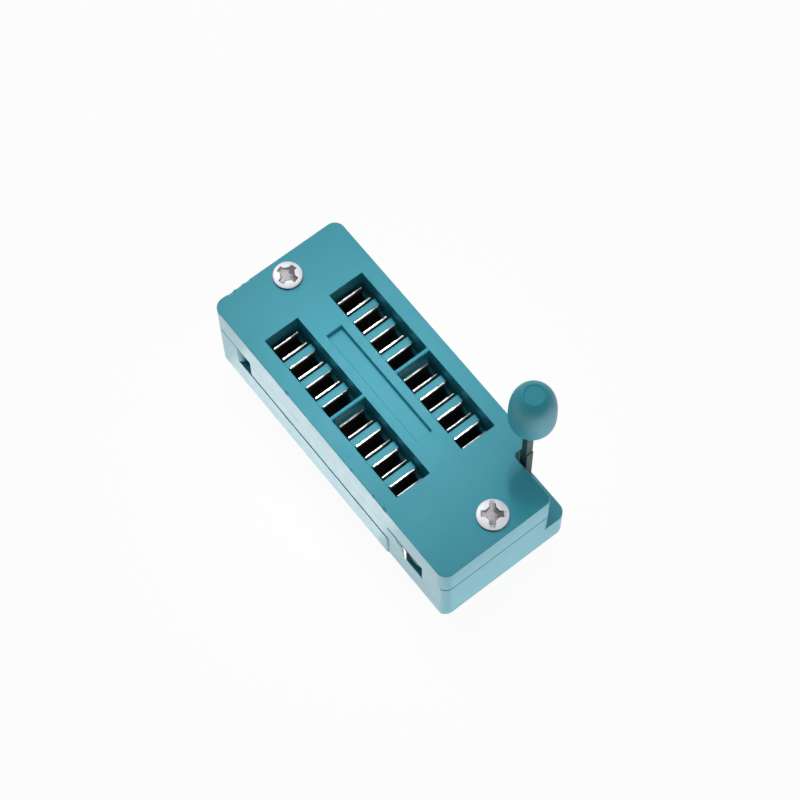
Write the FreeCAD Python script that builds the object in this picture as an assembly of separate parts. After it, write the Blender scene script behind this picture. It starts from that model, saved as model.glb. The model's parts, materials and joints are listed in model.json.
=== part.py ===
import FreeCAD, Part
import math
import os

# A zero insertion force socket for a 16 lead dual in-line package.
# The origin is the centre of the contact field on the board seating face.
# +X points to the lever end, +Y to the lever side, +Z up. Millimetres.

# Outside of the housing, seen from above
body_length = 35.17
body_width = 14.86

# Contact field, with as many contacts in a row as the body holds
pitch = 2.54
row_spacing = 7.62

# Stamped contacts: two upright leaves on a web, with one solder tail
leaf_thickness = 0.2
leaf_offset = 0.7
contact_width = 2.9
web_height = 2.0
bend_radius = 0.3
tail_width = 0.5
tail_thickness = 0.3
tail_reach = 3.3
pocket_clearance = 0.05
tail_clearance = 0.03

# Heights of the three layers
floor_thickness = 3.65
slider_thickness = 2.95
cover_thickness = 3.8
slide_clearance = 0.05

# Cover
cover_plate = 1.5
window_far_margin = 0.45
window_lever_margin = 0.21
rib_window_gap = 0.18
crossbar_width = 0.44
pocket_end_gap = 0.12
nameplate_length = 13.7
nameplate_shift = -0.12
nameplate_width = 1.76
nameplate_depth = 0.65
leaf_top_gap = 0.1

# Slider: a frame with two slots, bridged by ribs that push one leaf of each contact
slot_side_gap = 0.15
slot_end_gap = 0.16
rib_foot = 0.15
rib_clearance = 0.1
rib_back_gap = 0.03
rib_top_drop = 0.3
rib_root = 0.75
rib_taper = 0.6
side_gap = 0.05
far_bar = 1.1
lever_bar = 1.96
slider_corner = 0.3

# Drive strap: sheet steel folded over the lever end of the slider
strap_thickness = 0.34
strap_seat_gap = 0.05
strap_step = 0.17
strap_top_gap = 0.36
strap_bend = 0.25
strap_start_gap = 0.15
strap_flank = 0.3
strap_shoulder = 1.0
strap_clearance = 0.05
strap_foot_gap = 0.15
strap_lead = 0.55
peg_radius = 0.45
peg_shoulder = 0.25
peg_clearance = 0.03
peg_half_spacing = 2.0

# Cam shaft: a quarter turn pushes the slider by slider_travel
slider_travel = 1.1
cam_base_radius = 0.83
cam_clearance = 0.02
cam_tip_radius = 0.3
cam_pocket_gap = 0.1
journal_radius = 0.8
journal_clearance = 0.05
saddle_width = 1.4
saddle_side_gap = 0.1
shaft_height = 1.7
shaft_end_inset = 0.35
far_saddle_inset = 1.3

# Lever
lever_channel = 2.17
lever_side_gap = 0.385
lever_thickness = 0.8
lever_width = 0.95
stem_width = 0.7
hub_radius = 1.0
shoulder_reach = 6.65
rivet_radius = 0.55
rivet_head_radius = 0.75
rivet_head_height = 0.12
fit_gap = 0.01
lever_gap = 0.38

# Knob
knob_reach = 12.08
knob_length = 7.06
knob_offset = 0.235
knob_radius = 2.21
knob_neck_radius = 0.9
knob_flat_radius = 1.04
knob_wide_share = 0.31
knob_neck_power = 1.34
knob_nose_power = 3.7
knob_dimple_depth = 0.08
knob_rim = 0.12
tang_length = 4.6

# End blocks and outline
end_gap = 0.15
far_block_length = 4.02
lever_block_gap = 0.42
corner_radius = 1.1
far_inner_radius = 0.65
lever_inner_radius = 0.5
channel_corner_radius = 0.3
lever_corner_radius = 0.7
notch_chamfer = 1.3
side_relief = 0.12
relief_setback = 0.45

# Cover screws
far_screw_inset = 2.04
lever_screw_inset = 2.24
far_head_radius = 1.45
lever_head_radius = 1.55
screw_head_height = 0.55
screw_crown = 0.22
screw_shank_radius = 0.8
screw_length = 7.6
screw_tip = 0.8
screw_hole_gap = 0.12
pilot_gap = 0.01
pilot_spare = 0.4
pilot_wall = 0.25
cross_width = 0.62
cross_span = 2.2
cross_core = 1.4
cross_depth = 0.42
far_cross_turn = 17
lever_cross_turn = 51

# Levels
slider_z = floor_thickness + slide_clearance
slider_top = slider_z + slider_thickness
seam_z = slider_top + slide_clearance
top_z = seam_z + cover_thickness
plate_z = top_z - cover_plate
leaf_top = plate_z - leaf_top_gap
rib_top = leaf_top - rib_top_drop
rib_bottom = slider_top - rib_root

# Reaches along X, from the middle of the outer contacts
leaf_outer = leaf_offset + leaf_thickness / 2
far_slot_reach = leaf_outer + slot_end_gap
far_block_reach = far_slot_reach + far_bar + slider_travel + end_gap
lever_slot_reach = far_slot_reach + slider_travel
slider_reach = lever_slot_reach + lever_bar
strap_reach = slider_reach + strap_seat_gap + strap_thickness
shaft_reach = strap_reach + cam_clearance + cam_base_radius
lever_block_reach = shaft_reach + cam_base_radius + lever_block_gap

# The contacts fill the length between the end blocks, and the lever block takes what they leave over
least_lever_block = lever_screw_inset + screw_shank_radius + pilot_gap + pilot_wall
end_room = far_block_length + far_block_reach + lever_block_reach + least_lever_block
contacts_per_row = math.floor((body_length - end_room) / pitch) + 1
field_half = pitch * (contacts_per_row - 1) / 2

# Places along X, worked outwards from the contact field
window_far = -(field_half + leaf_outer + window_far_margin)
window_lever = field_half + leaf_outer + window_lever_margin
rib_near = leaf_outer + rib_clearance
rib_width = pitch - 2 * leaf_outer - rib_clearance - rib_back_gap
slot_far = -(field_half + far_slot_reach)
slot_lever = field_half + lever_slot_reach
slider_far = slot_far - far_bar
slider_lever = field_half + slider_reach
strap_face = field_half + strap_reach
shaft_x = field_half + shaft_reach
shaft_z = floor_thickness + shaft_height
lever_block_face = field_half + lever_block_reach
far_block_face = -(field_half + far_block_reach)
far_end = far_block_face - far_block_length
lever_end = far_end + body_length
notch_x = shaft_x - lever_width / 2 - lever_gap
relief_x = slot_lever - relief_setback
screw_places = (far_end + far_screw_inset, lever_end - lever_screw_inset)

# The cam pushes the slider by the same amount for each radian that the lever turns
cam_rise = slider_travel / (math.pi / 2)

# Places along Y
row_y = row_spacing / 2
slot_half = contact_width / 2 + slot_side_gap
rib_half = slot_half + rib_foot
window_half_width = rib_half + rib_window_gap
body_half = body_width / 2
slider_half = body_half - side_gap
channel_y = body_half - lever_channel
lever_y = channel_y + lever_side_gap
shaft_y0 = -body_half + shaft_end_inset
far_saddle_y = -body_half + far_saddle_inset
near_saddle_y = channel_y - saddle_side_gap - saddle_width - cam_pocket_gap
cam_y0 = far_saddle_y + saddle_width + saddle_side_gap
cam_y1 = near_saddle_y - saddle_side_gap

contact_places = [-field_half + pitch * i for i in range(contacts_per_row)]


def V(x, y, z):
    """A point or direction."""
    return FreeCAD.Vector(x, y, z)


def box(x0, x1, y0, y1, z0, z1):
    """A block between two opposite corners."""
    return Part.makeBox(x1 - x0, y1 - y0, z1 - z0, V(x0, y0, z0))


def rounded_outline(corners, z):
    """A closed wire through (x, y, radius) corners. A corner of radius 0 stays sharp."""
    starts = []
    ends = []
    mids = []
    count = len(corners)
    for i in range(count):
        x, y, radius = corners[i]
        corner = V(x, y, z)
        before = V(corners[i - 1][0], corners[i - 1][1], z) - corner
        after = V(corners[(i + 1) % count][0], corners[(i + 1) % count][1], z) - corner
        before.normalize()
        after.normalize()
        half = before.getAngle(after) / 2
        reach = radius / math.tan(half)
        bisector = before + after
        bisector.normalize()
        starts.append(corner + before * reach)
        ends.append(corner + after * reach)
        mids.append(corner + bisector * (radius / math.sin(half) - radius))
    edges = []
    for i in range(count):
        if corners[i][2] > 0:
            edges.append(Part.Arc(starts[i], mids[i], ends[i]).toShape())
        edges.append(Part.LineSegment(ends[i], starts[(i + 1) % count]).toShape())
    return Part.Wire(edges)


def slab(corners, z0, z1):
    """A plate of the rounded outline between two heights."""
    return Part.Face(rounded_outline(corners, z0)).extrude(V(0, 0, z1 - z0))


def prism(edges, width):
    """A solid from edges in an XZ plane, drawn out along +Y by width."""
    return Part.Face(Part.Wire(edges)).extrude(V(0, width, 0))


def polygon_edges(points):
    """Straight edges round closed points."""
    count = len(points)
    return [Part.LineSegment(points[i], points[(i + 1) % count]).toShape() for i in range(count)]


def cylinder_y(x, z, radius, y0, y1):
    """A round bar along Y."""
    return Part.makeCylinder(radius, y1 - y0, V(x, y0, z), V(0, 1, 0))


def cover_outline():
    """The housing seen from above, with the lever channel cut from one corner."""
    return [
        (far_end, -body_half, corner_radius),
        (lever_end, -body_half, corner_radius),
        (lever_end, channel_y, lever_corner_radius),
        (notch_x, channel_y, channel_corner_radius),
        (notch_x, body_half - notch_chamfer, channel_corner_radius),
        (notch_x - notch_chamfer, body_half, channel_corner_radius),
        (far_end, body_half, corner_radius),
    ]


def make_cover():
    """Top cover: windows over the contacts, crossbars, nameplate recess, screw holes."""
    cover = slab(cover_outline(), seam_z, top_z)
    bar = crossbar_width / 2
    rib_end = field_half + rib_near + rib_width + pocket_end_gap
    for side in (-1, 1):
        y0 = side * row_y - window_half_width
        y1 = side * row_y + window_half_width
        cover = cover.cut(box(window_far, -bar, y0, y1, plate_z, top_z))
        cover = cover.cut(box(bar, window_lever, y0, y1, plate_z, top_z))
        cover = cover.cut(box(window_far, rib_end, y0, y1, seam_z, plate_z))
    plate_x0 = nameplate_shift - nameplate_length / 2
    plate_x1 = nameplate_shift + nameplate_length / 2
    half_width = nameplate_width / 2
    recess_z = top_z - nameplate_depth
    cover = cover.cut(box(plate_x0, plate_x1, -half_width, half_width, recess_z, top_z))
    hole_radius = screw_shank_radius + screw_hole_gap
    for x in screw_places:
        cover = cover.cut(Part.makeCylinder(hole_radius, cover_thickness, V(x, 0, seam_z)))
    return cover


def make_base():
    """Base housing: floor, two end blocks, shaft saddles and pockets for the contacts."""
    floor = slab([
        (far_end, -body_half, corner_radius),
        (lever_end, -body_half, corner_radius),
        (lever_end, body_half, corner_radius),
        (far_end, body_half, corner_radius),
    ], 0, floor_thickness)
    far_block = slab([
        (far_end, -body_half, corner_radius),
        (far_block_face, -body_half, far_inner_radius),
        (far_block_face, body_half, far_inner_radius),
        (far_end, body_half, corner_radius),
    ], 0, seam_z)
    lever_block = slab([
        (lever_block_face, -body_half, lever_inner_radius),
        (lever_end, -body_half, corner_radius),
        (lever_end, channel_y, lever_corner_radius),
        (lever_block_face, channel_y, channel_corner_radius),
    ], 0, seam_z)
    saddles = []
    block_side = lever_block_face + lever_inner_radius
    for y in (far_saddle_y, near_saddle_y):
        saddles.append(box(shaft_x, block_side, y, y + saddle_width, floor_thickness, seam_z))
    base = floor.multiFuse([far_block, lever_block] + saddles).removeSplitter()
    groove = journal_radius + journal_clearance
    base = base.cut(cylinder_y(shaft_x, shaft_z, groove, shaft_y0, channel_y))
    tip_reach = math.hypot(cam_base_radius + slider_travel, cam_rise) + cam_pocket_gap
    sweep_y0 = cam_y0 - saddle_side_gap
    sweep_y1 = cam_y1 + saddle_side_gap
    base = base.cut(cylinder_y(shaft_x, shaft_z, tip_reach, sweep_y0, sweep_y1))
    base = base.cut(box(relief_x, lever_end, -body_half, -body_half + side_relief, 0, seam_z))
    leaf_room = leaf_outer + pocket_clearance
    half_pocket = contact_width / 2 + pocket_clearance
    half_tail_y = tail_width / 2 + tail_clearance
    half_tail_x = tail_thickness / 2 + tail_clearance
    cuts = []
    for side in (-1, 1):
        y = side * row_y
        pocket_y = (y - half_pocket, y + half_pocket)
        tail_y = (y - half_tail_y, y + half_tail_y)
        for x in contact_places:
            cuts.append(box(x - leaf_room, x + leaf_room, *pocket_y, web_height, floor_thickness))
            cuts.append(box(x - half_tail_x, x + half_tail_x, *tail_y, 0, web_height))
    pilot_depth = screw_length - cover_thickness + pilot_spare
    pilot_radius = screw_shank_radius + pilot_gap
    for x in screw_places:
        cuts.append(Part.makeCylinder(pilot_radius, pilot_depth, V(x, 0, seam_z - pilot_depth)))
    return base.cut(Part.makeCompound(cuts))


def make_rib(x, y):
    """One slider rib: upright behind, and tapered in front so that its top edge pushes."""
    front = x + rib_near
    back = front + rib_width
    y0 = y - rib_half
    points = [
        V(front, y0, rib_top),
        V(back, y0, rib_top),
        V(back, y0, rib_bottom),
        V(front + rib_taper, y0, rib_bottom),
    ]
    return prism(polygon_edges(points), 2 * rib_half)


def strap_level():
    """Height of the underside of the strap."""
    return slider_top - strap_top_gap - strap_thickness


def peg_x():
    """The pegs stand in the middle of the flat of the strap."""
    flat_start = slot_lever + strap_start_gap
    flat_end = slider_lever + strap_seat_gap - strap_bend
    return (flat_start + flat_end) / 2


def make_slider():
    """Slider comb: a frame between base and cover that carries all the ribs."""
    slider = slab([
        (slider_far, -slider_half, slider_corner),
        (slider_lever, -slider_half, slider_corner),
        (slider_lever, slider_half, slider_corner),
        (slider_far, slider_half, slider_corner),
    ], slider_z, slider_top)
    step_z = strap_level() - strap_step
    relief_z = slider_top - strap_top_gap
    shoulder_x = slider_lever - strap_shoulder - strap_clearance
    flat_x = slot_lever + strap_start_gap - strap_clearance
    flat_y = -slider_half + strap_flank - strap_clearance
    slider = slider.cut(box(relief_x, slider_lever, -slider_half, channel_y, relief_z, slider_top))
    slider = slider.cut(box(flat_x, slider_lever, flat_y, channel_y, step_z, slider_top))
    slider = slider.cut(box(shoulder_x, slider_lever, -slider_half, channel_y, step_z, slider_top))
    edge = [
        V(slider_lever, -slider_half, step_z),
        V(slider_lever, -slider_half, step_z - strap_bend),
        V(slider_lever - strap_bend, -slider_half, step_z),
    ]
    slider = slider.cut(prism(polygon_edges(edge), slider_half + channel_y))
    for side in (-1, 1):
        y0 = side * row_y - slot_half
        y1 = side * row_y + slot_half
        slider = slider.cut(box(slot_far, slot_lever, y0, y1, slider_z, slider_top))
    ribs = [make_rib(x, side * row_y) for side in (-1, 1) for x in contact_places]
    pegs = []
    for side in (-1, 1):
        y = side * peg_half_spacing
        shoulder = Part.makeCylinder(peg_radius + peg_shoulder, strap_step, V(peg_x(), y, step_z))
        peg = Part.makeCylinder(peg_radius, slider_top - step_z, V(peg_x(), y, step_z))
        pegs += [shoulder, peg]
    return slider.multiFuse(ribs + pegs).removeSplitter()


def make_strap():
    """Drive strap: flat on the slider pegs, then folded down over the slider's end."""
    low = strap_level()
    high = low + strap_thickness
    inner = slider_lever + strap_seat_gap
    start = slot_lever + strap_start_gap
    foot = floor_thickness + strap_foot_gap
    y0 = -slider_half
    y1 = channel_y - strap_lead
    bend = strap_bend
    outer_bend = strap_bend + strap_thickness
    centre = V(inner - bend, y0, low - bend)
    turn = math.sqrt(0.5)
    outer_mid = centre + V(turn * outer_bend, 0, turn * outer_bend)
    inner_mid = centre + V(turn * bend, 0, turn * bend)
    edges = [
        Part.LineSegment(V(start, y0, high), V(centre.x, y0, high)).toShape(),
        Part.Arc(V(centre.x, y0, high), outer_mid, V(strap_face, y0, centre.z)).toShape(),
        Part.LineSegment(V(strap_face, y0, centre.z), V(strap_face, y0, foot)).toShape(),
        Part.LineSegment(V(strap_face, y0, foot), V(inner, y0, foot)).toShape(),
        Part.LineSegment(V(inner, y0, foot), V(inner, y0, centre.z)).toShape(),
        Part.Arc(V(inner, y0, centre.z), inner_mid, V(centre.x, y0, low)).toShape(),
        Part.LineSegment(V(centre.x, y0, low), V(start, y0, low)).toShape(),
        Part.LineSegment(V(start, y0, low), V(start, y0, high)).toShape(),
    ]
    strap = prism(edges, y1 - y0)
    strap = strap.cut(box(start, slider_lever - strap_shoulder, y0, y0 + strap_flank, low, high))
    hole_radius = peg_radius + peg_clearance
    for side in (-1, 1):
        place = V(peg_x(), side * peg_half_spacing, low)
        strap = strap.cut(Part.makeCylinder(hole_radius, strap_thickness, place))
    return strap


def cam_point(angle, y):
    """A point of the constant rise cam. Its reach along the angle grows by cam_rise a radian."""
    reach = cam_base_radius + cam_rise * (angle - math.pi)
    x = reach * math.cos(angle) - cam_rise * math.sin(angle)
    z = reach * math.sin(angle) + cam_rise * math.cos(angle)
    return V(shaft_x + x, y, shaft_z + z)


def make_shaft():
    """Cam shaft: two journals, the cam between them and a riveted end for the lever."""
    y = cam_y0
    radius = cam_base_radius
    tip = cam_tip_radius
    steps = 6
    rise = [cam_point(math.pi + math.pi / 2 * i / steps, y) for i in range(steps + 1)]
    flank = Part.BSplineCurve()
    flank.interpolate(rise)
    tip_centre = rise[-1] + V(0, 0, tip)
    centre = V(shaft_x, y, shaft_z)
    across = tip_centre - centre
    lean = math.acos((radius - tip) / across.Length) + math.atan2(across.z, across.x)
    side = V(math.cos(lean), 0, math.sin(lean))
    tip_side = tip_centre + side * tip
    base_side = centre + side * radius
    halfway = (lean - math.pi / 2) / 2
    tip_mid = tip_centre + V(math.cos(halfway), 0, math.sin(halfway)) * tip
    edges = [
        Part.Arc(base_side, centre + V(0, 0, radius), centre - V(radius, 0, 0)).toShape(),
        Part.LineSegment(centre - V(radius, 0, 0), rise[0]).toShape(),
        flank.toShape(),
        Part.Arc(rise[-1], tip_mid, tip_side).toShape(),
        Part.LineSegment(tip_side, base_side).toShape(),
    ]
    cam = prism(edges, cam_y1 - cam_y0)
    bar = cylinder_y(shaft_x, shaft_z, journal_radius, shaft_y0, lever_y)
    head_y = lever_y + lever_thickness
    rivet = cylinder_y(shaft_x, shaft_z, rivet_radius, lever_y, head_y + rivet_head_height)
    head = cylinder_y(shaft_x, shaft_z, rivet_head_radius, head_y, head_y + rivet_head_height)
    return bar.multiFuse([cam, rivet, head]).removeSplitter()


def make_arm():
    """Lever arm: stamped plate with a hub, a shoulder and a thinner stem into the knob."""
    hub = cylinder_y(shaft_x, shaft_z, hub_radius, lever_y, lever_y + lever_thickness)
    half = lever_width / 2
    thin = stem_width / 2
    shoulder_z = shaft_z + shoulder_reach
    stem_top = shaft_z + knob_reach + tang_length
    y1 = lever_y + lever_thickness
    arm = box(shaft_x - half, shaft_x + half, lever_y, y1, shaft_z, shoulder_z)
    stem = box(shaft_x - thin, shaft_x + thin, lever_y, y1, shoulder_z, stem_top)
    whole = hub.multiFuse([arm, stem]).removeSplitter()
    return whole.cut(cylinder_y(shaft_x, shaft_z, rivet_radius + fit_gap, lever_y, y1))


def knob_profile_radius(share):
    """Radius of the egg-shaped knob at a share of its length, 0 at the neck and 1 at the flat."""
    if share < knob_wide_share:
        fall = ((knob_wide_share - share) / knob_wide_share) ** knob_neck_power
        end = knob_neck_radius
    else:
        fall = ((share - knob_wide_share) / (1 - knob_wide_share)) ** knob_nose_power
        end = knob_flat_radius
    return knob_radius * math.sqrt(1 - fall * (1 - (end / knob_radius) ** 2))


def make_knob():
    """Lever knob: a turned egg shape with a flat end, moulded onto the stem."""
    y = lever_y + lever_thickness / 2 + knob_offset
    z0 = shaft_z + knob_reach
    z1 = z0 + knob_length
    steps = 12
    curve_points = []
    for i in range(steps + 1):
        share = (1 - math.cos(math.pi * i / steps)) / 2
        curve_points.append(V(shaft_x + knob_profile_radius(share), y, z0 + knob_length * share))
    curve = Part.BSplineCurve()
    curve.interpolate(curve_points)
    edges = [
        Part.LineSegment(V(shaft_x, y, z0), curve_points[0]).toShape(),
        curve.toShape(),
        Part.LineSegment(curve_points[-1], V(shaft_x, y, z1)).toShape(),
        Part.LineSegment(V(shaft_x, y, z1), V(shaft_x, y, z0)).toShape(),
    ]
    knob = Part.Face(Part.Wire(edges)).revolve(V(shaft_x, y, z0), V(0, 0, 1), 360)
    dimple_radius = knob_flat_radius - knob_rim
    dimple = Part.makeCylinder(dimple_radius, knob_dimple_depth, V(shaft_x, y, z1 - knob_dimple_depth))
    thin = stem_width / 2 + fit_gap
    thick = lever_thickness / 2 + fit_gap
    stem_y = y - knob_offset
    socket_top = z0 + tang_length + fit_gap
    socket = box(shaft_x - thin, shaft_x + thin, stem_y - thick, stem_y + thick, z0, socket_top)
    return knob.cut(dimple).cut(socket)


def make_screw(x, head_radius, turn):
    """Pan head screw with a pointed tip. Its cross recess is turned by some degrees."""
    edge_z = top_z + screw_head_height - screw_crown
    crown_z = top_z + screw_head_height
    end_z = top_z - screw_length
    shank = x + screw_shank_radius
    rim = x + head_radius
    crown_radius = (head_radius ** 2 + screw_crown ** 2) / (2 * screw_crown)
    crown_centre = V(x, 0, crown_z - crown_radius)
    half_turn = math.asin(head_radius / crown_radius) / 2
    crown_mid = crown_centre + V(math.sin(half_turn), 0, math.cos(half_turn)) * crown_radius
    edges = [
        Part.LineSegment(V(x, 0, end_z), V(shank, 0, end_z + screw_tip)).toShape(),
        Part.LineSegment(V(shank, 0, end_z + screw_tip), V(shank, 0, top_z)).toShape(),
        Part.LineSegment(V(shank, 0, top_z), V(rim, 0, top_z)).toShape(),
        Part.LineSegment(V(rim, 0, top_z), V(rim, 0, edge_z)).toShape(),
        Part.Arc(V(rim, 0, edge_z), crown_mid, V(x, 0, crown_z)).toShape(),
        Part.LineSegment(V(x, 0, crown_z), V(x, 0, end_z)).toShape(),
    ]
    screw = Part.Face(Part.Wire(edges)).revolve(V(x, 0, end_z), V(0, 0, 1), 360)
    half_span = cross_span / 2
    half_width = cross_width / 2
    low = crown_z - cross_depth
    half_core = cross_core / 2
    slot = box(-half_span, half_span, -half_width, half_width, low, crown_z)
    core = box(-half_core, half_core, -half_core, half_core, low, crown_z)
    for tool, angle in ((slot, turn), (slot, turn + 90), (core, turn + 45)):
        recess = tool.copy()
        recess.rotate(V(0, 0, 0), V(0, 0, 1), angle)
        recess.translate(V(x, 0, 0))
        screw = screw.cut(recess)
    return screw


def make_contact(x, y):
    """One contact: a bent strip with two leaves, and its tail."""
    outer = leaf_outer
    inner = leaf_offset - leaf_thickness / 2
    y0 = y - contact_width / 2
    strip = slab([
        (x - outer, web_height, bend_radius),
        (x + outer, web_height, bend_radius),
        (x + outer, leaf_top, 0),
        (x + inner, leaf_top, 0),
        (x + inner, web_height + leaf_thickness, bend_radius - leaf_thickness / 2),
        (x - inner, web_height + leaf_thickness, bend_radius - leaf_thickness / 2),
        (x - inner, leaf_top, 0),
        (x - outer, leaf_top, 0),
    ], 0, contact_width)
    strip.rotate(V(0, 0, 0), V(1, 0, 0), 90)
    strip.translate(V(0, y0 + contact_width, 0))
    half_x = tail_thickness / 2
    half_y = tail_width / 2
    tail = box(x - half_x, x + half_x, y - half_y, y + half_y, -tail_reach, web_height + leaf_thickness / 2)
    return strip.fuse(tail).removeSplitter()


os.makedirs("parts", exist_ok=True)
nodes = {
    "top_cover": make_cover(),
    "base_housing": make_base(),
    "slider_comb": make_slider(),
    "drive_strap": make_strap(),
    "cam_shaft": make_shaft(),
    "lever_arm": make_arm(),
    "lever_knob": make_knob(),
    "far_screw": make_screw(screw_places[0], far_head_radius, far_cross_turn),
    "lever_screw": make_screw(screw_places[1], lever_head_radius, lever_cross_turn),
}
number = 0
for side, places in ((-1, contact_places), (1, contact_places[::-1])):
    for x in places:
        number += 1
        nodes["contact_%02d" % number] = make_contact(x, side * row_y)
for name, shape in nodes.items():
    shape.exportStep("parts/" + name + ".step")
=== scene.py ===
import bmesh
import bpy
import json
import math
import random
from mathutils import Matrix, Vector


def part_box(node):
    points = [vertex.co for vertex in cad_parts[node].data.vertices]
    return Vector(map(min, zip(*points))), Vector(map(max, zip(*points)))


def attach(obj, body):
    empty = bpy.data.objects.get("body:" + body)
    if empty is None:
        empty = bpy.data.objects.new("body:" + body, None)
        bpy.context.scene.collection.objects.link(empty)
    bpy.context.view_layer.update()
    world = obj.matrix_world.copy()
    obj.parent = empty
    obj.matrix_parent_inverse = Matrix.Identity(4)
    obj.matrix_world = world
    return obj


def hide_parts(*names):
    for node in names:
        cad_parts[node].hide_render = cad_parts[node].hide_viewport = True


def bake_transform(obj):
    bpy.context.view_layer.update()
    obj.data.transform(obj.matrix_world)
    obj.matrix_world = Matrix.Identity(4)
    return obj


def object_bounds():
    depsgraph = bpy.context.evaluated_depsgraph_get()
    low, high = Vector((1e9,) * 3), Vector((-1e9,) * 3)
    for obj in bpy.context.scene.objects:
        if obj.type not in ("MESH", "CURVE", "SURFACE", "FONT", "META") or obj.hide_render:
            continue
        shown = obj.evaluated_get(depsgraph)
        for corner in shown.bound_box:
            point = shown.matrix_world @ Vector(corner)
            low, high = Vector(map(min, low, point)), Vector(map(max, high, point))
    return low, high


# A zero insertion force socket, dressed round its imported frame. Metres, in the same frame as the solids.
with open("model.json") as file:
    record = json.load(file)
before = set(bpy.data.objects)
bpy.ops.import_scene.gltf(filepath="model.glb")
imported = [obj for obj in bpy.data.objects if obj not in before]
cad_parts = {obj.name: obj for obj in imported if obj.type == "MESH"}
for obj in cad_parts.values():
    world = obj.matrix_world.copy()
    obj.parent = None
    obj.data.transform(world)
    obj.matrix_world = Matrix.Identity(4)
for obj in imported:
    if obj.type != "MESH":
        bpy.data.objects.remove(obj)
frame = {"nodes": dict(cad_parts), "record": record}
cad_low, cad_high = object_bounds()
mm = 0.001

# Levels and places read from the frame
cover_low, cover_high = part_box("top_cover")
comb_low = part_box("slider_comb")[0]
floor_z = cad_low.z
leaf_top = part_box("contact_01")[1].z
row_y = (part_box("contact_09")[0].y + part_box("contact_09")[1].y) / 2
slot_of = {part["node"]: part["material_slot"] for part in frame["record"]["subparts"]}
body_of = {name: body for body, names in frame["record"]["behaviour"]["bodies"].items() for name in names}


# Camera: the photograph's viewing angle
camera_target = Vector((3.17, -0.14, 10.5)) * mm
camera_distance = 231.6 * mm
camera_azimuth = 53.16
camera_elevation = 66.8
camera_roll = -1.37
sensor_width = 36.0
focal_length = 112.55
shift_right = 0.0006
shift_up = 0.0113


def direction(azimuth, elevation):
    """Unit vector from the object towards an azimuth, counted from -Y towards +X, and an elevation."""
    a = math.radians(azimuth)
    e = math.radians(elevation)
    return Vector((math.sin(a) * math.cos(e), -math.cos(a) * math.cos(e), math.sin(e)))


def make_camera():
    data = bpy.data.cameras.new("camera")
    data.sensor_width = sensor_width
    data.lens = focal_length
    data.shift_x = shift_right
    data.shift_y = shift_up
    data.clip_start = 0.01
    data.clip_end = 10
    camera = bpy.data.objects.new("camera", data)
    bpy.context.scene.collection.objects.link(camera)
    back = direction(camera_azimuth, camera_elevation)
    facing = (-back).to_track_quat("-Z", "Y").to_matrix()
    turned = facing @ Matrix.Rotation(math.radians(camera_roll), 3, "Z")
    camera.matrix_world = Matrix.Translation(camera_target + back * camera_distance) @ turned.to_4x4()
    bpy.context.scene.camera = camera


# Materials: noise scales are features a millimetre, and relief is in millimetres
def principled(name, roughness, metallic=0.0):
    """A new material. Returns it with its node tree and its Principled shader."""
    material = bpy.data.materials.new(name)
    material.use_nodes = True
    tree = material.node_tree
    shader = tree.nodes["Principled BSDF"]
    shader.inputs["Roughness"].default_value = roughness
    shader.inputs["Metallic"].default_value = metallic
    return material, tree, shader


def object_place(tree):
    """The place on the object as a vector."""
    return tree.nodes.new("ShaderNodeTexCoord").outputs["Object"]


def axes(tree, vector):
    """The three parts of a vector, by the names X, Y and Z."""
    node = tree.nodes.new("ShaderNodeSeparateXYZ")
    tree.links.new(vector, node.inputs["Vector"])
    return node.outputs


def put(tree, value, socket):
    """Sets a socket to a plain value, or links another node's output to it."""
    if isinstance(value, bpy.types.NodeSocket):
        tree.links.new(value, socket)
    else:
        socket.default_value = value


def math_of(tree, operation, *values):
    """The result of a Math node. Each value is a number or another node's output."""
    node = tree.nodes.new("ShaderNodeMath")
    node.operation = operation
    for socket, value in zip(node.inputs, values):
        put(tree, value, socket)
    return node.outputs[0]


def mapped(tree, value, start, end, low=0.0, high=1.0):
    """Low where the value is at start, high where it is at end, and between them in between."""
    node = tree.nodes.new("ShaderNodeMapRange")
    node.inputs["From Min"].default_value = start
    node.inputs["From Max"].default_value = end
    node.inputs["To Min"].default_value = low
    node.inputs["To Max"].default_value = high
    tree.links.new(value, node.inputs["Value"])
    return node.outputs["Result"]


def mixed(tree, share, one, two):
    """Colour one where the share is 0 and colour two where it is 1."""
    node = tree.nodes.new("ShaderNodeMix")
    node.data_type = "RGBA"
    for value, socket in ((share, node.inputs[0]), (one, node.inputs[6]), (two, node.inputs[7])):
        put(tree, value, socket)
    return node.outputs[2]


def noise(tree, scale, detail=4.0):
    """Noise fixed to the object."""
    texture = tree.nodes.new("ShaderNodeTexNoise")
    texture.inputs["Scale"].default_value = scale / mm
    texture.inputs["Detail"].default_value = detail
    tree.links.new(object_place(tree), texture.inputs["Vector"])
    return texture.outputs["Fac"]


def spread(tree, value, low, high):
    """The middle range of a noise, stretched between two numbers."""
    return mapped(tree, value, noise_low, noise_high, low, high)


def ramp(tree, value, stops):
    """A colour ramp from (position, colour) stops."""
    node = tree.nodes.new("ShaderNodeValToRGB")
    node.color_ramp.elements[0].position = stops[0][0]
    node.color_ramp.elements[0].color = stops[0][1]
    node.color_ramp.elements[1].position = stops[-1][0]
    node.color_ramp.elements[1].color = stops[-1][1]
    for position, colour in stops[1:-1]:
        node.color_ramp.elements.new(position).color = colour
    tree.links.new(value, node.inputs["Fac"])
    return node.outputs["Color"]


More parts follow.
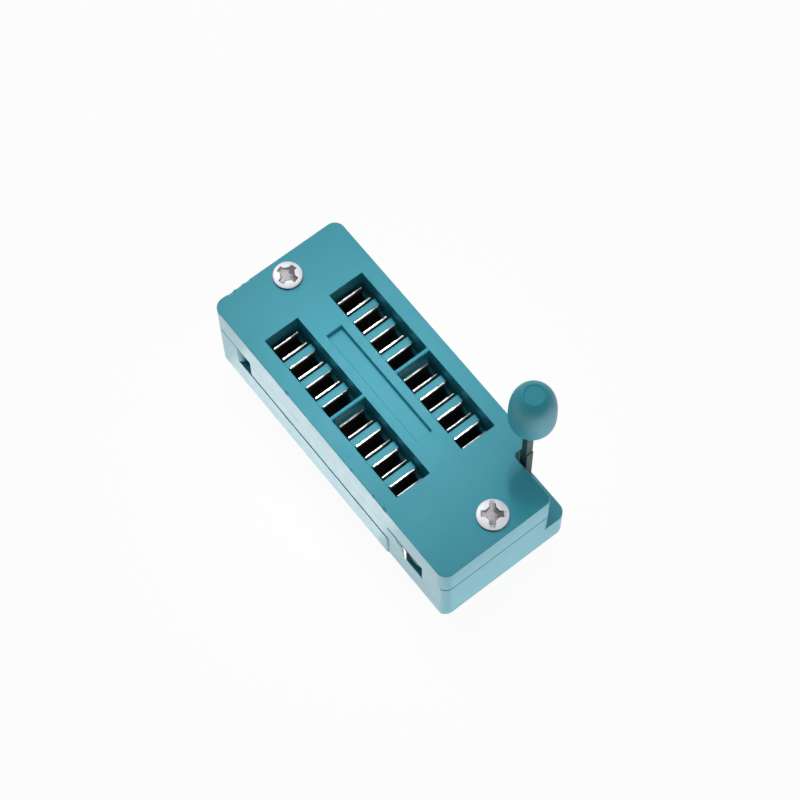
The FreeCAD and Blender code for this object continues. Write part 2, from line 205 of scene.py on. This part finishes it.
def bump(tree, shader, value, height, normal=None):
    """Adds fine relief of a height, over another relief's normal if there is one."""
    node = tree.nodes.new("ShaderNodeBump")
    node.inputs["Strength"].default_value = 1.0
    node.inputs["Distance"].default_value = height * mm
    tree.links.new(value, node.inputs["Height"])
    if normal is not None:
        tree.links.new(normal, node.inputs["Normal"])
    tree.links.new(node.outputs["Normal"], shader.inputs["Normal"])
    return node.outputs["Normal"]


def shade(colour, factor):
    return (colour[0] * factor, colour[1] * factor, colour[2] * factor, 1.0)


def mottled(tree, value, colour, low, high):
    """The colour, made from low to high times as bright over the middle range of a noise."""
    return ramp(tree, value, [(noise_low, shade(colour, low)), (noise_high, shade(colour, high))])


def make_plastic(name, colour, roughness, gloss=1.0):
    """Moulded plastic: cloudy colour, a fine spark-eroded grain and slight flow marks."""
    material, tree, shader = principled(name, roughness)
    shader.inputs["IOR"].default_value = plastic_ior
    shader.inputs["Coat Weight"].default_value = gloss
    shader.inputs["Coat IOR"].default_value = skin_ior
    shader.inputs["Coat Roughness"].default_value = roughness
    tone = mottled(tree, noise(tree, cloud_scale), colour, 0.95, 1.05)
    tree.links.new(tone, shader.inputs["Base Color"])
    patches = noise(tree, patch_scale, 6.0)
    tree.links.new(spread(tree, patches, roughness - 0.05, roughness + 0.05), shader.inputs["Roughness"])
    flow = bump(tree, shader, noise(tree, flow_scale, 2.0), flow_relief)
    bump(tree, shader, noise(tree, grain_scale, 3.0), grain_relief, flow)
    return material


def make_metal(name, colour, roughness, grain, relief, painted_shade_before=None):
    """Metal with uneven polish and fine relief. Faces square to Y are painted nearly black, as painted
    shade, up to the X given last, if one is given.
    """
    material, tree, shader = principled(name, roughness, 1.0)
    tone = mottled(tree, noise(tree, grain, 5.0), colour, 0.86, 1.0)
    # Painted shade: faces square to Y, before the given X, are painted nearly black
    if painted_shade_before:
        past = mapped(tree, axes(tree, object_place(tree))["X"], painted_shade_before, painted_shade_before + painted_shade_fade)
        normal = tree.nodes.new("ShaderNodeNewGeometry").outputs["True Normal"]
        face = mapped(tree, math_of(tree, "ABSOLUTE", axes(tree, normal)["Y"]), square_on, aslant)
        tone = mixed(tree, math_of(tree, "MAXIMUM", past, face), shade(colour, painted_shade_share), tone)
    tree.links.new(tone, shader.inputs["Base Color"])
    low = max(roughness - 0.08, 0.03)
    tree.links.new(spread(tree, noise(tree, grain * 2.5), low, roughness + 0.1), shader.inputs["Roughness"])
    bump(tree, shader, noise(tree, grain * 4.0, 6.0), relief)
    return material


def make_contact_metal(name):
    """Plated contact strip: bright at the tips, and painted darker as shade towards their +Y end and lower
    down, with patchy brightness.
    """
    material, tree, shader = principled(name, contact_roughness, 0.85)
    place = axes(tree, object_place(tree))
    row_side = math_of(tree, "SIGN", place["Y"])
    along_tip = math_of(tree, "MULTIPLY_ADD", row_side, -row_y, place["Y"])
    # Painted shade: the tips grow darker towards the window wall at their +Y end
    fade = mapped(tree, along_tip, tip_fade_end, tip_fade_start, 0.25)
    # Painted shade: below the very top of the leaves the strip is painted dark
    height = mapped(tree, place["Z"], leaf_top - painted_shade_depth, leaf_top - bright_depth)
    # Noise makes the painted brightness of the tips patchy
    patchy_shade = spread(tree, noise(tree, 2.2, 5.0), 0.75, 1.15)
    bright = math_of(tree, "MULTIPLY", math_of(tree, "MULTIPLY", height, fade), patchy_shade)
    tone = ramp(tree, bright, [(0.0, contact_dark), (0.55, contact_warm), (0.9, contact_bright)])
    tree.links.new(tone, shader.inputs["Base Color"])
    bump(tree, shader, noise(tree, 6.0, 5.0), 0.002)
    return material


def make_screw_metal(name):
    """Bright plated steel, whose cross recess is painted dark and patchy as shade. The origin is at the
    crown on the axis.
    """
    material, tree, shader = principled(name, 0.4, 0.4)
    flat = tree.nodes.new("ShaderNodeVectorMath")
    flat.operation = "MULTIPLY"
    flat.inputs[1].default_value = (1, 1, 0)
    tree.links.new(object_place(tree), flat.inputs[0])
    square = tree.nodes.new("ShaderNodeVectorMath")
    square.operation = "DOT_PRODUCT"
    tree.links.new(flat.outputs["Vector"], square.inputs[0])
    tree.links.new(flat.outputs["Vector"], square.inputs[1])
    height = axes(tree, object_place(tree))["Z"]
    over_crown = math_of(tree, "MULTIPLY_ADD", square.outputs["Value"], crown_fall, height)
    outside = mapped(tree, over_crown, -recess_edge_end, -recess_edge_start)
    # Painted shade: the recess is painted dark, in patches
    patchy_shade = ramp(tree, noise(tree, 0.8, 3.0), [(0.44, recess_dark), (0.60, recess_shade_light)])
    tree.links.new(mixed(tree, outside, patchy_shade, screw_bright), shader.inputs["Base Color"])
    tree.links.new(spread(tree, noise(tree, 6.0), 0.38, 0.50), shader.inputs["Roughness"])
    bump(tree, shader, noise(tree, 2.0, 3.0), 0.0012)
    return material


noise_low = 0.3
noise_high = 0.7
plastic_colour = (0.028, 0.300, 0.385)
plastic_ior = 1.34
skin_ior = 1.3
cloud_scale = 0.12
patch_scale = 0.7
flow_scale = 0.35
flow_relief = 0.008
grain_scale = 14.0
grain_relief = 0.0015
contact_roughness = 0.28
# Contact tones: dark and warm are painted shade, bright is the plating at the tips
contact_dark = (0.16, 0.13, 0.12, 1.0)
contact_warm = (0.30, 0.28, 0.26, 1.0)
contact_bright = (0.95, 0.92, 0.88, 1.0)
tip_fade_start = 0.4 * mm
tip_fade_end = 1.0 * mm
# The painted shade is full this far under the leaf tops, and ends this far under them
painted_shade_depth = 0.5 * mm
bright_depth = 0.02 * mm
screw_bright = (0.76, 0.76, 0.81, 1.0)
# Tones of the recess's painted shade
recess_dark = (0.10, 0.095, 0.10, 1.0)
recess_shade_light = (0.42, 0.41, 0.42, 1.0)
recess_edge_start = 0.01 * mm
recess_edge_end = 0.05 * mm
# A screw's crown falls by this times the square of the distance from its axis
crown_fall = 102.0
# Strap faces are painted dark as shade where the Y part of their normal is over square_on, and bright under
# aslant
strap_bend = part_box("drive_strap")[1].x - 0.55 * mm
painted_shade_fade = 0.2 * mm
painted_shade_share = 0.05
square_on = 0.9
aslant = 0.2
materials = {
    "housing_plastic": make_plastic("housing_plastic", plastic_colour, 0.40),
    "slider_plastic": make_plastic("slider_plastic", shade(plastic_colour, 0.97), 0.40),
    "knob_plastic": make_plastic("knob_plastic", shade(plastic_colour, 0.92), 0.48, 0.45),
    "contact_metal": make_contact_metal("contact_metal"),
    # The strap's faces square to Y are painted dark as shade up to its bend
    "strap_steel": make_metal("strap_steel", (0.86, 0.84, 0.80), 0.25, 3.0, 0.003, strap_bend),
    "shaft_steel": make_metal("shaft_steel", (0.07, 0.055, 0.045), 0.5, 3.0, 0.003),
    "lever_steel": make_metal("lever_steel", (0.045, 0.08, 0.08), 0.5, 2.0, 0.004),
    "screw_steel": make_screw_metal("screw_steel"),
}


# Pieces
def paint(piece, slot):
    piece.data.materials.clear()
    piece.data.materials.append(materials[slot])


def finished_mesh(piece):
    """Turns the piece's modifiers into its mesh."""
    graph = bpy.context.evaluated_depsgraph_get()
    mesh = bpy.data.meshes.new_from_object(piece.evaluated_get(graph))
    piece.modifiers.clear()
    piece.data = mesh


def mesh_of(shape, name):
    """The shape as a new mesh. The shape is freed."""
    mesh = bpy.data.meshes.new(name)
    shape.to_mesh(mesh)
    shape.free()
    return mesh


def new_piece(name, mesh):
    piece = bpy.data.objects.new(name, mesh)
    bpy.context.scene.collection.objects.link(piece)
    return piece


def keep_inside(piece, node):
    """Moves what stands past the node's box, such as the tips of crossing bevels, back onto it."""
    low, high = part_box(node)
    for vert in piece.data.vertices:
        vert.co = [min(max(value, least), most) for value, least, most in zip(vert.co, low, high)]


weld_distance = 0.002 * mm
flat_angle = math.radians(0.3)
sharp_angle = math.radians(35)


def dressed_copy(node, name, radius, steps=2, soft=None, soft_radius=0, cutter=None, rework=None):
    """A copy of a node's mesh whose sharp edges are rounded. It replaces the node.

    Edges whose middle passes the test soft get the larger soft_radius. The function rework changes the
    shape first, and the cutter is taken away last.
    """
    shape = bmesh.new()
    shape.from_mesh(frame["nodes"][node].data)
    bmesh.ops.remove_doubles(shape, verts=shape.verts, dist=weld_distance)
    bmesh.ops.dissolve_limit(shape, angle_limit=flat_angle, verts=shape.verts, edges=shape.edges)
    if rework:
        rework(shape)
    widest = max(radius, soft_radius)
    weight = shape.edges.layers.float.new("bevel_weight_edge")
    for edge in shape.edges:
        if edge.calc_face_angle(0) > sharp_angle:
            middle = (edge.verts[0].co + edge.verts[1].co) / 2
            edge[weight] = (soft_radius if soft and soft(middle) else radius) / widest
    for face in shape.faces:
        face.smooth = True
    piece = new_piece(name, mesh_of(shape, name))
    bevel = piece.modifiers.new("edges", "BEVEL")
    bevel.width = widest * mm
    bevel.segments = steps
    bevel.limit_method = "WEIGHT"
    bevel.use_clamp_overlap = False
    if cutter:
        cut = piece.modifiers.new("cut", "BOOLEAN")
        cut.operation = "DIFFERENCE"
        cut.solver = "MANIFOLD"
        cut.object = cutter
    even = piece.modifiers.new("normals", "WEIGHTED_NORMAL")
    even.mode = "FACE_AREA"
    even.weight = 100
    finished_mesh(piece)
    keep_inside(piece, node)
    paint(piece, slot_of[node])
    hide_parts(node)
    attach(piece, body_of[node])
    return piece


# Limits that tell the edges of the cover and comb apart
level_slack = 0.1 * mm
crossbar_reach = 0.3 * mm
nameplate_edge = 1.5 * mm
field_end = 11 * mm
field_side = 6 * mm
hole_reach = 1.2 * mm
outline_slack = 0.5 * mm


def on_soft_edge(place):
    """Whether a place is on a crossbar's top edge, or on the lower edge all round the cover."""
    if place.z > cover_high.z - level_slack:
        return abs(place.x) < crossbar_reach and abs(place.y) > nameplate_edge
    in_field = abs(place.x) < field_end and abs(place.y) < field_side
    off_ends = cover_low.x + outline_slack < place.x < cover_high.x - outline_slack
    round_screw = abs(place.y) < hole_reach and off_ends
    return place.z < cover_low.z + level_slack and not in_field and not round_screw


def on_comb_foot(place):
    """Whether a place is on the lower edge along the comb's sides."""
    return place.z < comb_low.z + level_slack and abs(place.y) > field_side


# Knocks: the edge's direction, the place along it, half the length and the depth, in millimetres
edge_knocks = [
    ("y", -5.25, 0.7, 0.36), ("y", -4.4, 0.7, 0.24), ("y", -3.4, 0.6, 0.20), ("x", -4.6, 0.5, 0.24),
    ("x", 5.2, 0.45, 0.20), ("x", 8.5, 0.45, 0.20), ("x", 10.2, 0.6, 0.28),
]
knock_offset = 0.2
knock_least = 0.85


def make_knocks():
    """Irregular lumps along the cover's top edges, which leave small knocks when they are taken away."""
    dice = random.Random(5)
    shape = bmesh.new()
    for along, place, length, depth in edge_knocks:
        corner = Vector((cover_low.x, place * mm, cover_high.z))
        outward = Vector((-1, 0, 1))
        run = Vector((0, 1, 0))
        if along == "x":
            corner = Vector((place * mm, cover_low.y, cover_high.z))
            outward = Vector((0, -1, 1))
            run = Vector((1, 0, 0))
        reach = knock_offset * math.sqrt(2) + depth
        made = bmesh.ops.create_icosphere(shape, subdivisions=2, radius=1.0)
        for vert in made["verts"]:
            local = vert.co * dice.uniform(knock_least, 1.0)
            across = local - run * local.dot(run)
            lump = across * reach + run * local.dot(run) * length
            vert.co = corner + (outward * knock_offset + lump) * mm
    return new_piece("knocks", mesh_of(shape, "knocks"))


# Moulded and sheet parts: the radius of their edges is in millimetres
knocks = make_knocks()
dressed_copy("top_cover", "cover_shell", 0.09, soft=on_soft_edge, soft_radius=0.19, cutter=knocks)
bpy.data.objects.remove(knocks)
dressed_copy("base_housing", "base_shell", 0.06)
dressed_copy("slider_comb", "comb_frame", 0.04, soft=on_comb_foot, soft_radius=0.14)
dressed_copy("drive_strap", "strap_sheet", 0.03)
dressed_copy("lever_arm", "arm_plate", 0.05)
dressed_copy("lever_knob", "knob_body", 0.05, steps=3)
paint(frame["nodes"]["cam_shaft"], slot_of["cam_shaft"])


# Screws: the recess narrows towards its floor, which rises outwards
recess_depth = 0.4 * mm
recess_reach = 1.35 * mm
recess_middle = 0.4 * mm
recess_taper = 0.92
recess_slope = 0.25
rim_reach = 1.3 * mm
rim_height = 0.4 * mm


def make_screw(node):
    """A screw with its origin at the crown on its axis, where its material reads its depth from."""
    low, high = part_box(node)
    axis = Vector(((low.x + high.x) / 2, 0, 0))
    top = high.z

    def reach(place):
        return (place - axis).xy.length

    def on_recess_floor(vert):
        return abs(top - vert.co.z - recess_depth) < level_slack and reach(vert.co) < recess_reach

    def shape_recess(shape):
        for vert in shape.verts:
            if on_recess_floor(vert):
                vert.co.z += recess_slope * max(reach(vert.co) - recess_middle, 0)
                vert.co.xy = axis.xy + (vert.co - axis).xy * recess_taper

    def on_rim(place):
        return reach(place) > rim_reach and top - place.z < rim_height

    piece = dressed_copy(node, node + "_head", 0.04, 3, on_rim, 0.13, rework=shape_recess)
    crown = axis + Vector((0, 0, top))
    piece.data.transform(Matrix.Translation(-crown))
    piece.location = crown


for screw_node in ("far_screw", "lever_screw"):
    make_screw(screw_node)


# Contacts: each a bent strip with two leaves, and its tail
leaf_offset = 0.7 * mm
leaf_thickness = 0.2 * mm
contact_width = 2.9 * mm
web_z = 2.1 * mm
web_bend = 0.4 * mm
leaf_steps = 14
bend_steps = 5
tip_corner = 0.1 * mm
tip_start = 0.02 * mm
edge_round = 0.04 * mm
edge_share = 0.6
outer_tip_round = 0.075 * mm
inner_tip_round = 0.035 * mm
tail_width = 0.5 * mm
tail_thickness = 0.3 * mm
tail_taper = 0.5 * mm
tail_point = 0.4
bend_root = 3.65 * mm
most_lean = 0.02 * mm
# The pushed leaf of a contact past this X leans in by this much more
last_contact_x = 8 * mm
last_lean = 0.24 * mm


def bend_share(z):
    """How much of a leaf's lean it has at a height: none at the root and all at the tip."""
    return max((z - bend_root) / (leaf_top - bend_root), 0) ** 2


def half_path():
    """Points (x, z, distance under the tip) down the straight leaf at -X and round its bend to the web."""
    points = []
    for i in range(leaf_steps + 1):
        z = leaf_top + (web_z + web_bend - leaf_top) * i / leaf_steps
        points.append((-leaf_offset, z, leaf_top - z))
    for i in range(1, bend_steps + 1):
        angle = math.pi / 2 * i / bend_steps
        x = -leaf_offset + web_bend * (1 - math.cos(angle))
        points.append((x, web_z + web_bend * (1 - math.sin(angle)), leaf_top))
    return points


def strip_path(lean_a, lean_b):
    """The same points along the whole strip, from tip A at -X round the web to tip B, with their lean."""
    half = half_path()
    leaf_a = [(x + lean_a * bend_share(z), z, under) for x, z, under in half]
    leaf_b = [(-x + lean_b * bend_share(z), z, under) for x, z, under in reversed(half)]
    return leaf_a + leaf_b


def strip_ring(shape, point, along, half_width, half_thickness):
    """Eight corners round the strip at a point, square to its run."""
    across = Vector((0, 1, 0))
    out = along.cross(across).normalized()
    cut = min(edge_round, half_thickness * edge_share)
    corners = [
        (half_width, half_thickness - cut), (half_width - cut, half_thickness),
        (-half_width + cut, half_thickness), (-half_width, half_thickness - cut),
        (-half_width, -half_thickness + cut), (-half_width + cut, -half_thickness),
        (half_width - cut, -half_thickness), (half_width, -half_thickness + cut),
    ]
    return [shape.verts.new(point + across * y + out * t) for y, t in corners]


def join_rings(shape, rings):
    """Faces between rings, and a cap on each end."""
    count = len(rings[0])
    for one, two in zip(rings, rings[1:]):
        for i in range(count):
            j = (i + 1) % count
            shape.faces.new((one[i], one[j], two[j], two[i]))
    shape.faces.new(list(reversed(rings[0])))
    shape.faces.new(rings[-1])


def tip_width(under):
    """Half width of a leaf at a distance under its tip, with round corners."""
    half = contact_width / 2
    if under >= tip_corner:
        return half
    rest = tip_corner - under
    return half - tip_corner + math.sqrt(tip_corner ** 2 - rest ** 2)


def tip_rings(shape, point, inward, along, tip_round):
    """Rings that close a leaf's tip, from its end inwards."""
    made = []
    for step in (0, tip_round, tip_corner, 2 * tip_corner):
        half_thickness = leaf_thickness / 2 - max(tip_round - step, 0)
        half_width = tip_width(step + tip_start)
        made.append(strip_ring(shape, point + inward * step, along, half_width, half_thickness))
    return made


def add_strip(shape, centre, path):
    """The bent strip. Of its two tips, the one nearer the socket's middle is rounded less."""
    rings = []
    last = len(path) - 1
    for i, (x, z, under) in enumerate(path):
        before = path[max(i - 1, 0)]
        after = path[min(i + 1, last)]
        along = Vector((after[0] - before[0], 0, after[1] - before[1])).normalized()
        point = centre + Vector((x, 0, z))
        tip_round = inner_tip_round if (i == 0) == (centre.x > 0) else outer_tip_round
        if i == 0:
            rings += tip_rings(shape, point, along, along, tip_round)
        elif i == last:
            rings += reversed(tip_rings(shape, point, -along, along, tip_round))
        else:
            rings.append(strip_ring(shape, point, along, tip_width(under), leaf_thickness / 2))
    join_rings(shape, rings)


def add_tail(shape, centre, end):
    """The solder tail, from its pointed end up to the web."""
    rings = []
    for z, share in ((end, tail_point), (end + tail_taper, 1.0), (web_z, 1.0)):
        half_x = tail_thickness / 2 * share
        half_y = tail_width / 2 * share
        corners = ((half_x, -half_y), (half_x, half_y), (-half_x, half_y), (-half_x, -half_y))
        rings.append([shape.verts.new(centre + Vector((x, y, z))) for x, y in corners])
    join_rings(shape, rings)


def make_contact(node, dice):
    """A contact whose leaf at +X is the one that the comb's rib pushes."""
    low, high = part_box(node)
    centre = Vector(((low.x + high.x) / 2, (low.y + high.y) / 2, 0))
    lean_a = dice.uniform(-most_lean, most_lean)
    lean_b = dice.uniform(-most_lean, most_lean)
    if lean_a > 0:
        # Where leaf A leans in, leaf B leans in by as much more
        lean_b -= lean_a
    if centre.x > last_contact_x:
        lean_b -= last_lean
    shape = bmesh.new()
    add_strip(shape, centre, strip_path(lean_a, lean_b))
    add_tail(shape, centre, low.z)
    bmesh.ops.recalc_face_normals(shape, faces=shape.faces)
    piece = new_piece(node + "_strip", mesh_of(shape, node + "_strip"))
    paint(piece, slot_of[node])
    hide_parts(node)
    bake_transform(piece)


dice = random.Random(16)
for contact_node in sorted(name for name in frame["nodes"] if name.startswith("contact_")):
    make_contact(contact_node, dice)


# Studio
def aim(lamp, place, target):
    lamp.location = place
    lamp.rotation_mode = "QUATERNION"
    lamp.rotation_quaternion = (Vector(target) - Vector(place)).to_track_quat("-Z", "Y")


def area_lamp(name, place, target, width, depth, power):
    data = bpy.data.lights.new(name, "AREA")
    data.shape = "RECTANGLE"
    data.size = width
    data.size_y = depth
    data.energy = power
    lamp = bpy.data.objects.new(name, data)
    bpy.context.scene.collection.objects.link(lamp)
    aim(lamp, place, target)
    lamp.visible_camera = False
    return lamp


def spot_lamp(name, place, target, cone, radius, power):
    data = bpy.data.lights.new(name, "SPOT")
    data.spot_size = math.radians(cone)
    data.spot_blend = 1.0
    data.shadow_soft_size = radius
    data.energy = power
    lamp = bpy.data.objects.new(name, data)
    bpy.context.scene.collection.objects.link(lamp)
    aim(lamp, place, target)
    return lamp


def seen_directly(tree):
    """1 for camera, glossy and transmission rays, and 0 for the rays that light the object."""
    path = tree.nodes.new("ShaderNodeLightPath").outputs
    seen = math_of(tree, "MAXIMUM", path["Is Camera Ray"], path["Is Glossy Ray"])
    return math_of(tree, "MAXIMUM", seen, path["Is Transmission Ray"])


def plain_shader(tree, kind, tone, strength=None):
    """A shader of one grey tone."""
    node = tree.nodes.new(kind)
    node.inputs["Color"].default_value = (tone, tone, tone, 1)
    if strength is not None:
        node.inputs["Strength"].default_value = strength
    return node.outputs[0]


def mix_to_surface(tree, output, share, one, two):
    """Shows shader one where the share is 0 and shader two where it is 1."""
    mix = tree.nodes.new("ShaderNodeMixShader")
    for value, socket in zip((share, one, two), mix.inputs):
        tree.links.new(value, socket)
    tree.links.new(mix.outputs[0], tree.nodes.new(output).inputs["Surface"])


def make_world():
    world = bpy.data.worlds.new("studio")
    bpy.context.scene.world = world
    world.use_nodes = True
    tree = world.node_tree
    tree.nodes.clear()
    light = plain_shader(tree, "ShaderNodeBackground", white, ambient)
    shown = plain_shader(tree, "ShaderNodeBackground", white, 1.0)
    mix_to_surface(tree, "ShaderNodeOutputWorld", seen_directly(tree), light, shown)


def make_floor():
    shape = bmesh.new()
    bmesh.ops.create_grid(shape, x_segments=1, y_segments=1, size=floor_reach)
    floor = new_piece("floor", mesh_of(shape, "floor"))
    floor.location = (0, 0, floor_z)
    material = bpy.data.materials.new("floor")
    material.use_nodes = True
    tree = material.node_tree
    tree.nodes.clear()
    matt = plain_shader(tree, "ShaderNodeBsdfDiffuse", floor_tone)
    glow = plain_shader(tree, "ShaderNodeEmission", white, 1.0)
    share = math_of(tree, "MULTIPLY", seen_directly(tree), floor_glow)
    mix_to_surface(tree, "ShaderNodeOutputMaterial", share, matt, glow)
    floor.data.materials.append(material)


def top_lamp(name, azimuth, elevation, size, power):
    """A square soft lamp over the object, aimed at the middle of its top."""
    place = top_centre + direction(azimuth, elevation) * lamp_distance
    return area_lamp(name, place, top_centre, size, size, power)


def floor_lamp(name, x, y, lift, width, depth, power):
    """A panel that shines up, like the glowing table round the object, at a height over the floor."""
    place = Vector((x * mm, y * mm, floor_z + lift * mm))
    return area_lamp(name, place, place + Vector((0, 0, 1)), width * mm, depth * mm, power)


def centre_lamp(name, azimuth, elevation, cone, power):
    """A spot whose soft pool lies over the middle of the top."""
    place = pool_centre + direction(azimuth, elevation) * spot_distance
    return spot_lamp(name, place, pool_centre, cone, spot_radius, power)


# Angles are in degrees, powers in watts, sizes of top lamps in metres and of floor lamps in millimetres
white = 1.0
ambient = 0.07
floor_reach = 1.5
floor_tone = 0.9
floor_glow = 0.95
lamp_distance = 0.45
spot_distance = 0.4
spot_radius = 0.015
top_centre = Vector((1.0 * mm, 0, cover_high.z))
pool_centre = Vector((-1, -0.5, 10.5)) * mm
make_camera()
make_world()
make_floor()
matt_lamps = [
    top_lamp("overhead_lamp", 233, 74, 0.24, 0.56),
    top_lamp("lever_side_lamp", 98, 45, 0.26, 0.19),
    centre_lamp("centre_spot", 233, 77, 5.2, 4.4),
    floor_lamp("end_fill", 27, -1, 0.3, 14, 18, 0.0021),
]
# Matt lamps give no highlight of their own
for lamp in matt_lamps:
    lamp.visible_glossy = False
top_lamp("far_side_softbox", 278, 45, 0.26, 0.48)
centre_lamp("centre_glint", 233, 70, 6, 1.05)
floor_lamp("side_panel_near", 0, -15, 0.2, 44, 14, 0.0009)
floor_lamp("side_panel_wide", 0, -42, 0.1, 90, 40, 0.0106)
floor_lamp("side_panel_strip", -4, -11.5, 0.3, 24, 7, 0.0004)
floor_lamp("end_panel", 56, 0, 0.2, 40, 80, 0.0229)
bpy.context.scene.view_settings.view_transform = "Standard"
